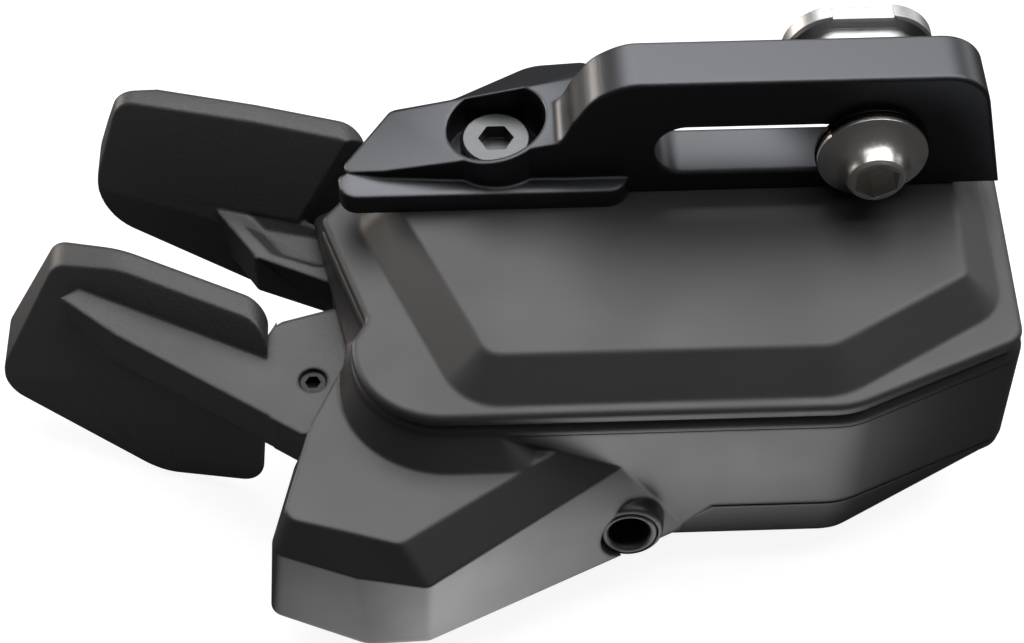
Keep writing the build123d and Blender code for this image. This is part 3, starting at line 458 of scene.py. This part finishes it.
# Plans of foot and ledge: x, y and corner radius
FOOT_PLAN = [(-26.5, PLATE_FRONT, 0), (-26.5, 5.1, 1.5), (-32.3, 6.5, 3.5), (-40.0, 2.7, 2.5),
             (-46.1, 2.8, 1.0), (-51.4, -4.3, 0.9), (-47.0, -5.2, 3.0), (-40.0, -5.7, 3.0)]
LEDGE_PLAN = [(-22.6, PLATE_FRONT + 1, 0), (-49.0, -3.4, 0), (-51.4, -4.9, 0.6), (-51.0, LEDGE_FRONT, 1.8),
              (-24.0, LEDGE_FRONT, 2.0)]


def swept(points, start, end, steps=8):
    """Smooth line through points with given directions at its ends."""
    spots = [Vector(p) for p in points]
    tangents = [Vector(start).normalized() * (spots[1] - spots[0]).length]
    tangents += [(after - before) / 2 for before, after in zip(spots, spots[2:])]
    tangents += [Vector(end).normalized() * (spots[-1] - spots[-2]).length]
    line = []
    for a, b, ta, tb in zip(spots, spots[1:], tangents, tangents[1:]):
        for k in range(steps):
            t = k / steps
            line.append(a * (2 * t ** 3 - 3 * t ** 2 + 1) + ta * (t ** 3 - 2 * t ** 2 + t)
                        + b * (3 * t ** 2 - 2 * t ** 3) + tb * (t ** 3 - t ** 2))
    return line + [spots[-1]]


def ring(centre, radius, steps=64):
    """Points of a circle."""
    angles = [2 * pi * k / steps for k in range(steps)]
    return [Vector((centre[0] + radius * cos(a), centre[1] + radius * sin(a))) for a in angles]


print("bracket's plate:", round(PLATE_TOP - LID_TOP, 2), "mm high,", -PLATE_FRONT, "mm thick")

# %% [markdown]
# The plate could be a raised outline cut by a slot. A flat curve with a hole is simpler, because
# Blender gives such a curve its thickness and an even chamfer along outline and hole in one go.
# The curve lies flat when it is made, so its points are stood upright afterwards.

# %% Slotted plate
# Neighbouring faces within half a degree are one flat face
FLAT_WITHIN = radians(0.5)
# Points of a mesh that came from a curve or a solid are the same below this many millimetres
SAME_IMPORTED = 1e-3


def plate_outlines():
    """Side view of the plate and of its slot, in x and z."""
    top_right = rounded([(0, PLATE_TOP, 0), (PLATE_CORNER, PLATE_TOP, PLATE_CORNER_R),
                         (PLATE_RIGHT, LID_TOP, 0)])
    arc_and_foot = top_right[ARC_STEPS + 1:2 * ARC_STEPS + 3]
    side = swept(SWEPT_SIDE, (1, FOOT_SLOPE), (1, 0)) + arc_and_foot + [Vector((FOOT_START[0], LID_TOP))]
    slot = [p + Vector((SLOT_RIGHT, 0)) for p in ring((0, 0), SLOT_R) if p.x >= 0]
    slot.sort(key=lambda p: p.y)
    slot += [Vector((SLOT_LEFT - (p.x - SLOT_RIGHT), p.y)) for p in slot[::-1]]
    return side, slot


def slotted_plate():
    """Upright plate with its slot and an even cutter chamfer, as a body in millimetres."""
    curve = bpy.data.curves.new("plate", "CURVE")
    curve.dimensions, curve.fill_mode = "2D", "BOTH"
    curve.bevel_depth, curve.bevel_resolution = CUTTER_CHAMFER * MM, 0
    curve.offset = -CUTTER_CHAMFER * MM
    curve.extrude = (-PLATE_FRONT / 2 - CUTTER_CHAMFER) * MM
    for outline in plate_outlines():
        spline = curve.splines.new("POLY")
        spline.points.add(len(outline) - 1)
        for point, spot in zip(spline.points, outline):
            point.co = (spot.x * MM, spot.y * MM, 0, 1)
        spline.use_cyclic_u = True
    holder = bpy.data.objects.new("plate", curve)
    bpy.context.scene.collection.objects.link(holder)
    mesh = bpy.data.meshes.new_from_object(holder.evaluated_get(bpy.context.evaluated_depsgraph_get()))
    bpy.data.objects.remove(holder)
    body = bmesh.new()
    body.from_mesh(mesh)
    for vert in body.verts:
        x, z, y = vert.co / MM
        vert.co = (x, PLATE_FRONT / 2 - y, z)
    bmesh.ops.remove_doubles(body, verts=body.verts, dist=SAME_IMPORTED)
    bmesh.ops.dissolve_limit(body, angle_limit=FLAT_WITHIN, verts=body.verts, edges=body.edges)
    bmesh.ops.recalc_face_normals(body, faces=body.faces)
    return body


print("outline points:", [len(outline) for outline in plate_outlines()])

# %% [markdown]
# The foot is raised from its plan and sawn along two planes: its top slopes down to the left, and
# a facet slopes down to the back. The screw's pocket bulges out of the foot, so the same two cuts
# go over a disc around the screw. Ledge, foot and bulge are joined to the plate, and the pocket
# is milled last, open towards the back facet.

# %% Bracket
def foot_part(plan, low=LID_TOP, high=PLATE_TOP):
    """Body over a plan, sawn to the foot's sloping top and back facet."""
    x0, z0 = FOOT_START
    body = stacked([(plan, low), (plan, high)])
    body = sawn(body, (x0, 0, z0), (-FOOT_SLOPE, 0, 1))
    return sawn(body, (x0, FOOT_BACK_EDGE, z0), (-FOOT_SLOPE, FOOT_FACET, 1))


def at_height(height):
    """Test for edges whose two ends are not below a height."""
    return lambda edge: all(vert.co.z > height - 0.01 for vert in edge.verts)


def bracket():
    """The whole milling, from its four bodies and the pocket."""
    plate = as_object(slotted_plate())
    foot = foot_part(rounded(FOOT_PLAN))
    bulge = foot_part(ring(SCREW_AT, POCKET_R + POCKET_WALL))
    ledge_plan = rounded(LEDGE_PLAN)
    ledge = eased(stacked([(ledge_plan, LID_TOP), (ledge_plan, LEDGE_TOP)]), CUTTER_CHAMFER, 2,
                  chosen=at_height(LEDGE_TOP))
    pocket = stacked([(ring(SCREW_AT, POCKET_R), POCKET_FLOOR), (ring(SCREW_AT, POCKET_R), PLATE_TOP)])
    pocket = sawn(pocket, (0, FOOT_BACK_EDGE, 0), (0, 1, 0))
    made = joined(plate, [as_object(body) for body in (foot, bulge, ledge)])
    made = joined(made, [as_object(pocket)], "DIFFERENCE")
    return finished(made, "milled_bracket", black_anodised)


milled_bracket = bracket()
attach(milled_bracket, "root")
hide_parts("bracket")

# %% [markdown]
# Each lever is one moulding: a flat arm that comes out of the body and a blade that the thumb
# pushes. The blade is a slab seen from the front, sawn to a leaning front face, a steeper face at
# its foot and the thumb face behind. Moulders avoid sharp edges, so blade and arm get radii of
# 1.1 and 0.7 mm before they are joined. The hub end is taken over from the solid, because there
# the fit in the body matters.

# %% Lever steps
LEVER_TOP, LEVER_UNDER, BACKMOST = -15.3, -20.3, 11.1
# Depth of a blank slab towards the viewer, before it is sawn
SLAB_BACK, SLAB_FRONT = -20, 30
FACE_LEAN, FOOT_LEAN, BACK_LEAN, BLADE_THICK = 30.0, 15.0, 20.0, 2.5
BLADE_EDGE, ARM_EDGE = 1.1, 0.7


def blade(front, face_at, azimuth, foot_at, foot_azimuth, ridge_at):
    """Slab with its front outline in x and z, sawn to its leaning faces, all edges rounded."""
    body = stacked([(rounded(front), SLAB_BACK), (rounded(front), SLAB_FRONT)])
    for vert in body.verts:
        x, z, depth = vert.co
        vert.co = (x, -depth, z)
    bmesh.ops.recalc_face_normals(body, faces=body.faces)
    body = sawn(body, face_at, direction(azimuth, FACE_LEAN))
    body = sawn(body, foot_at, direction(foot_azimuth, FOOT_LEAN))
    back_at = Vector(ridge_at) - direction(azimuth, 0) * BLADE_THICK
    body = sawn(body, back_at, direction(azimuth + 180, -BACK_LEAN))
    body = sawn(body, (0, BACKMOST, 0), (0, 1, 0))
    return eased(body, BLADE_EDGE, 5, least_turn=14)


def before_line(spot, start, slope):
    """True on the viewer's side of a sloping line in plan."""
    return spot.y < slope * (spot.x - start[0]) + start[1]


def flat_arm(plan, front_side):
    """Arm whose top edge is rounded where front_side says that the edge's middle faces the viewer."""
    body = stacked([(rounded(plan), LEVER_UNDER), (rounded(plan), LEVER_TOP)])
    on_top = at_height(LEVER_TOP)
    return eased(body, ARM_EDGE, 4,
                 chosen=lambda e: on_top(e) and front_side((e.verts[0].co + e.verts[1].co) / 2))


def kept_side(node, limit):
    """The part of a CAD solid to the right of a limit in x, as a body in millimetres."""
    body = bmesh.new()
    body.from_mesh(NODES[node].data)
    bmesh.ops.scale(body, vec=(1 / MM, 1 / MM, 1 / MM), verts=body.verts)
    bmesh.ops.remove_doubles(body, verts=body.verts, dist=SAME_IMPORTED)
    return sawn(body, (limit, 0, 0), (-1, 0, 0))


def lever(name, node, limit, slab, arm, cuts, body_name):
    """New blade and arm joined to the CAD solid's hub end; cuts shape the arm's top."""
    made = joined(slab, [arm, as_object(kept_side(node, limit))])
    made = finished(joined(made, cuts, "DIFFERENCE"), name, nylon_paddle)
    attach(made, body_name)
    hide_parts(node)


print("lever arms are", LEVER_TOP - LEVER_UNDER, "mm deep")

# %% [markdown]
# The upper lever's blade reaches behind the bracket's foot, close to the housing, so a block of
# free room is cut from it first. Its arm has a shallow tapered recess in the top, which saves
# material and keeps the moulding from sinking.

# %% Upper lever
UPPER_FRONT = [(-48.2, -6.8, 2.6), (-60.0, -6.65, 14.0), (-74.3, -7.0, 2.6), (-78.5, -18.2, 4.5),
               (-61.0, -23.1, 3.5), (-52.0, -20.6, 3.0)]
UPPER_ARM = [(-64.6, 3.2, 0), (-64.6, 1.6, 0.6), (-60.5, -4.9, 1.0), (-53.0, -8.3, 0), (-49.5, -9.4, 0),
             (-49.5, -1.2, 0), (-54.0, -1.1, 0), (-58.0, 2.0, 0)]
UPPER_HUB = -50.0
# Plan that stays 1.4 mm clear of the housing, so that the blade can swing
ROOM = rounded([(20, 5.28, 0), (-47.2, 5.28, 0.8), (-56.15, -0.3, 0.5), (-52.4, -17.7, 0), (20, -17.7, 0)])
ROOM_UNDER, ROOM_TOP = -27, 0
RECESS_DEPTH = 1.0
RECESS_RIM = rounded([(-50.0, -2.0, 0), (-61.6, 1.2, 0.6), (-61.6, -0.6, 0.4), (-58.8, -4.4, 1.2),
                      (-54.5, -6.2, 1.2), (-50.0, -6.5, 0)])
RECESS_FLOOR = rounded([(-50.0, -2.9, 0), (-59.9, -0.2, 0.3), (-59.9, -0.9, 0.2), (-57.7, -3.7, 0.6),
                        (-54.1, -5.2, 0.8), (-50.0, -5.5, 0)])

upper_slab = as_object(blade(UPPER_FRONT, face_at=(-65.0, 2.0, -15.3), azimuth=-105.8,
                             foot_at=(-65.2, 1.4, -16.4), foot_azimuth=-107.0, ridge_at=(-60.9, 5.8, -7.1)))
upper_slab = joined(upper_slab, [as_object(stacked([(ROOM, ROOM_UNDER), (ROOM, ROOM_TOP)]))], "DIFFERENCE")
upper_arm = as_object(flat_arm(UPPER_ARM, lambda p: p.x < -49.8 and before_line(p, (-62.0, -2.5), -1.3)))
recess = as_object(stacked([(RECESS_FLOOR, LEVER_TOP - RECESS_DEPTH), (RECESS_RIM, LEVER_TOP),
                            (RECESS_RIM, LEVER_TOP + 0.5)]))
lever("textured_upper_lever", "upper_lever", UPPER_HUB, upper_slab, upper_arm, [recess], "upper_lever")

# %% [markdown]
# The lower lever is made in the same way. It is larger, turned further to the left, and its arm
# has no recess.

# %% Lower lever
LOWER_FRONT = [(-58.5, -12.2, 2.2), (-73.5, -12.2, 14.0), (-80.4, -13.9, 3.2), (-88.0, -27.0, 2.4),
               (-71.0, -32.4, 7.0), (-60.2, -29.9, 3.2)]
LOWER_ARM = [(-79.6, -9.4, 0), (-74.0, -14.2, 3.0), (-58.0, -25.0, 0), (-58.0, -13.2, 0.0),
             (-59.5, -16.2, 1.0), (-64.0, -12.0, 0), (-76.0, -7.0, 0)]
LOWER_HUB = -58.3

lower_slab = as_object(blade(LOWER_FRONT, face_at=(-59.8, -17.4, -15.3), azimuth=-116.6,
                             foot_at=(-73.1, -14.9, -21.8), foot_azimuth=-111.0,
                             ridge_at=(-68.3, -11.2, -12.3)))
lower_arm = as_object(flat_arm(
    LOWER_ARM, lambda p: p.x < -58.1 and p.y < -13.5 and before_line(p, (-79.6, -9.0), -0.65)))
lever("textured_lower_lever", "lower_paddle", LOWER_HUB, lower_slab, lower_arm, [], "lower_lever")

# %% [markdown]
# The clamp bolt's thread lies inside the nut, where only a cut would show it. A thread is a ridge
# that follows a spiral, which is what Geometry Nodes are good at: one spiral curve, one small
# triangle drawn along it. Pitch and number of turns stay named inputs of the tree, so another
# bolt only needs other numbers. The solid bolt stays as it is and the ridge is laid round it.

# %% Thread
# M5 coarse thread: the ridge's middle line ends 0.25 mm before the nut's back
THREAD_TURNS, THREAD_PITCH, THREAD_END = 5, 0.8, 6.75
THREAD_R, RIDGE_R, SPIRAL_STEPS = 2.45, 0.2, 48


def thread_tree():
    """Ridge along a spiral that rises along Z, in metres."""
    tree = bpy.data.node_groups.new("screw_thread", "GeometryNodeTree")
    for name, kind in (("Turns", "Float"), ("Pitch", "Float"), ("Radius", "Float"), ("Ridge", "Float"),
                       ("Finish", "Material")):
        tree.interface.new_socket(name, in_out="INPUT", socket_type="NodeSocket" + kind)
    tree.interface.new_socket("Geometry", in_out="OUTPUT", socket_type="NodeSocketGeometry")
    size = add(tree, "NodeGroupInput").outputs
    rise = add(tree, "ShaderNodeMath", {0: size["Turns"], 1: size["Pitch"]}, operation="MULTIPLY")
    spiral = add(tree, "GeometryNodeCurveSpiral", {
        "Resolution": SPIRAL_STEPS, "Rotations": size["Turns"], "Start Radius": size["Radius"],
        "End Radius": size["Radius"], "Height": rise.outputs["Value"]})
    triangle = add(tree, "GeometryNodeCurvePrimitiveCircle", {"Resolution": 3, "Radius": size["Ridge"]})
    ridge = add(tree, "GeometryNodeCurveToMesh", {
        "Curve": spiral.outputs["Curve"], "Profile Curve": triangle.outputs["Curve"], "Fill Caps": True})
    real = add(tree, "GeometryNodeRealizeInstances", {"Geometry": ridge.outputs["Mesh"]})
    coated = add(tree, "GeometryNodeSetMaterial", {"Geometry": real.outputs["Geometry"],
                                                   "Material": size["Finish"]})
    add(tree, "NodeGroupOutput", {"Geometry": coated.outputs["Geometry"]})
    return tree


def grown(tree, name, values):
    """Plain mesh object from a tree with its named inputs set."""
    holder = bpy.data.objects.new(name, bpy.data.meshes.new(name + "_seed"))
    bpy.context.scene.collection.objects.link(holder)
    nodes = holder.modifiers.new("nodes", "NODES")
    nodes.node_group = tree
    for socket in tree.interface.items_tree:
        if socket.in_out == "INPUT":
            nodes[socket.identifier] = values[socket.name]
    mesh = bpy.data.meshes.new_from_object(holder.evaluated_get(bpy.context.evaluated_depsgraph_get()))
    holder.modifiers.remove(nodes)
    holder.data = mesh
    mesh.name = name
    return holder


clamp_thread = grown(thread_tree(), "clamp_thread", {
    "Turns": float(THREAD_TURNS), "Pitch": THREAD_PITCH * MM, "Radius": THREAD_R * MM,
    "Ridge": RIDGE_R * MM, "Finish": polished_steel})
# The spiral rises along Z and the bolt lies along Y
clamp_thread.data.transform(Matrix.Translation((0, (THREAD_END - THREAD_TURNS * THREAD_PITCH) * MM, 0))
                            @ Matrix.Rotation(radians(-90), 4, "X"))
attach(clamp_thread, "clamp")
print("thread faces:", len(clamp_thread.data.polygons))

# %% [markdown]
# The camera stands where the photographer's did: two degrees to the left of square on, looking
# down by about fifty degrees, far enough away that a long lens fills the frame.

# %% Camera
CAMERA_AT, CAMERA_TILT, CAMERA_TURN = (-39.65, -153.80, 160.62), radians(51.5), radians(2.0)
LENS, SENSOR = 80, 36

camera = bpy.data.objects.new("camera", bpy.data.cameras.new("camera"))
bpy.context.scene.collection.objects.link(camera)
bpy.context.scene.camera = camera
look = Vector((sin(CAMERA_TURN) * cos(CAMERA_TILT), cos(CAMERA_TURN) * cos(CAMERA_TILT), -sin(CAMERA_TILT)))
camera.location = Vector(CAMERA_AT) * MM
camera.rotation_euler = look.to_track_quat("-Z", "Y").to_euler()
camera.data.lens = LENS
camera.data.sensor_width = SENSOR
camera.data.clip_start = 10 * MM
print("camera looks along", [round(v, 3) for v in look])

# %% [markdown]
# The floor is a pale sheet. Seen by the camera it has to be white, but it may not throw more
# light on the part for that. So its material asks what kind of ray hits it. A camera ray sees
# white that the part's shadow greys a little. A reflection sees painted light: a glowing bright
# strip in front of the part that no other ray sees, and around it paper painted dim as shade.
# All other rays see plain paper.

# %% Floor
FLOOR_LEVEL = cad_box[0][2] - 1.0 * MM
# Half the sheet's side, in metres
SHEET_REACH = 1.5
# The painted reflection strip: its middle, how much longer it is in X, and where it starts and ends to fade
STRIP_MIDDLE, STRIP_STRETCH = (-22 * MM, -48 * MM, FLOOR_LEVEL), 3.4
STRIP_NEAR, STRIP_FAR = 5 * MM, 16 * MM
# Glow the camera sees, and the painted glow of the strip, which only reflections see
SEEN_GLOW, PAINTED_REFLECTION_GLOW = 0.9, 3.1
WHITE = (1, 1, 1, 1)


def paper_with_painted_reflection():
    """Paper that looks white to the camera, with a painted reflection: a bright strip only reflections see.
    """
    material, tree, output = new_material("paper_with_painted_reflection")
    ray = add(tree, "ShaderNodeLightPath")
    paper = add(tree, "ShaderNodeBsdfDiffuse", {"Color": linear("F0F0F0")})
    seen_paper = add(tree, "ShaderNodeBsdfDiffuse", {"Color": linear("8C8C8C")})
    glow = add(tree, "ShaderNodeEmission", {"Color": WHITE, "Strength": SEEN_GLOW})
    seen = add(tree, "ShaderNodeAddShader", {0: seen_paper.outputs["BSDF"], 1: glow.outputs["Emission"]})
    # Painted reflection: the strip glows for reflections only and lights nothing
    white = add(tree, "ShaderNodeEmission", {"Color": WHITE, "Strength": PAINTED_REFLECTION_GLOW})
    bright = add(tree, "ShaderNodeAddShader", {0: paper.outputs["BSDF"], 1: white.outputs["Emission"]})
    # Painted shade in reflections: beyond the strip they see darker paper than the floor is
    dim = add(tree, "ShaderNodeBsdfDiffuse", {"Color": linear("3C3C3C")})
    where = add(tree, "ShaderNodeTexCoord").outputs["Object"]
    from_middle = add(tree, "ShaderNodeVectorMath", {0: where, 1: STRIP_MIDDLE}, operation="SUBTRACT")
    squeezed = add(tree, "ShaderNodeVectorMath", {
        0: from_middle.outputs["Vector"], 1: (1 / STRIP_STRETCH, 1, 1)}, operation="MULTIPLY")
    away = add(tree, "ShaderNodeVectorMath", {0: squeezed.outputs["Vector"]}, operation="LENGTH")
    edge = add(tree, "ShaderNodeMapRange", {"Value": away.outputs["Value"], "From Min": STRIP_NEAR,
                                            "From Max": STRIP_FAR})
    mirrored = add(tree, "ShaderNodeMixShader", {0: edge.outputs["Result"], 1: bright.outputs["Shader"],
                                                 2: dim.outputs["BSDF"]})
    lit = add(tree, "ShaderNodeMixShader", {0: ray.outputs["Is Glossy Ray"], 1: paper.outputs["BSDF"],
                                            2: mirrored.outputs["Shader"]})
    result = add(tree, "ShaderNodeMixShader", {0: ray.outputs["Is Camera Ray"], 1: lit.outputs["Shader"],
                                               2: seen.outputs["Shader"]})
    tree.links.new(result.outputs["Shader"], output.inputs["Surface"])
    return material


def flat_sheet(name, reach, level, material):
    """Square sheet around the origin at a level."""
    mesh = bpy.data.meshes.new(name)
    corners = [(-reach, -reach, level), (reach, -reach, level), (reach, reach, level), (-reach, reach, level)]
    mesh.from_pydata(corners, [], [(0, 1, 2, 3)])
    mesh.materials.append(material)
    sheet = bpy.data.objects.new(name, mesh)
    bpy.context.scene.collection.objects.link(sheet)


flat_sheet("floor", SHEET_REACH, FLOOR_LEVEL, paper_with_painted_reflection())
print("floor at", round(FLOOR_LEVEL / MM, 1), "mm")

# %% [markdown]
# A dark object is drawn by what it mirrors. Level faces send the view to a place high behind the
# part, so the one large soft box hangs there. Upright front faces mirror the painted strip on the floor.
# Chamfers that face the camera mirror the dark room around it, which gives the strong steps of
# tone. A narrow strip straight overhead is mirrored only where an edge starts to turn, and draws
# the thin light line along it. Two small panels stand low behind the part and light its sides,
# the left one warmer.

# %% Light
# Where all lamps look, in millimetres
AIM = (-36, -18, -12)
ROOM_LIGHT, BACKDROP_LIGHT = 0.07, 1.0


def soft_box(name, towards, distance, size, power, colour="FFFFFF"):
    """Rectangular lamp on one side of the part, its distance and sizes in metres, power in watts."""
    lamp = bpy.data.lights.new(name, "AREA")
    lamp.shape = "RECTANGLE"
    lamp.size, lamp.size_y = size
    lamp.energy = power
    lamp.color = linear(colour)[:3]
    holder = bpy.data.objects.new(name, lamp)
    aim = Vector(AIM) * MM
    holder.location = aim + Vector(towards).normalized() * distance
    holder.rotation_euler = (aim - holder.location).to_track_quat("-Z", "Y").to_euler()
    bpy.context.scene.collection.objects.link(holder)


soft_box("top_box", (0.18, 0.46, 0.89), 0.9, (1.45, 0.7), 13.0)
soft_box("overhead_strip", (0.0, -0.03, 1.0), 0.9, (1.2, 0.12), 1.8)
soft_box("right_panel", (0.85, 0.55, 0.12), 0.8, (0.5, 0.35), 0.9)
soft_box("left_panel", (-0.8, 0.6, 0.10), 0.8, (0.3, 0.3), 3.6, "F8EEE4")

# %% [markdown]
# The room around the part is nearly dark, so that it adds no tone of its own. Only camera rays
# see it as white, which gives the plain background beyond the sheet's edge. The picture keeps
# the tones as they are rendered, without a film look.

# %% Room
world = bpy.data.worlds.new("studio")
bpy.context.scene.world = world
world.use_nodes = True
sky = world.node_tree
sky.nodes.clear()
ray = add(sky, "ShaderNodeLightPath")
room = add(sky, "ShaderNodeBackground", {"Color": WHITE, "Strength": ROOM_LIGHT})
backdrop = add(sky, "ShaderNodeBackground", {"Color": WHITE, "Strength": BACKDROP_LIGHT})
mixed = add(sky, "ShaderNodeMixShader", {0: ray.outputs["Is Camera Ray"], 1: room.outputs["Background"],
                                         2: backdrop.outputs["Background"]})
add(sky, "ShaderNodeOutputWorld", {"Surface": mixed.outputs["Shader"]})
bpy.context.scene.view_settings.view_transform = "Standard"
print("room light:", ROOM_LIGHT, "seen by the camera as", BACKDROP_LIGHT)
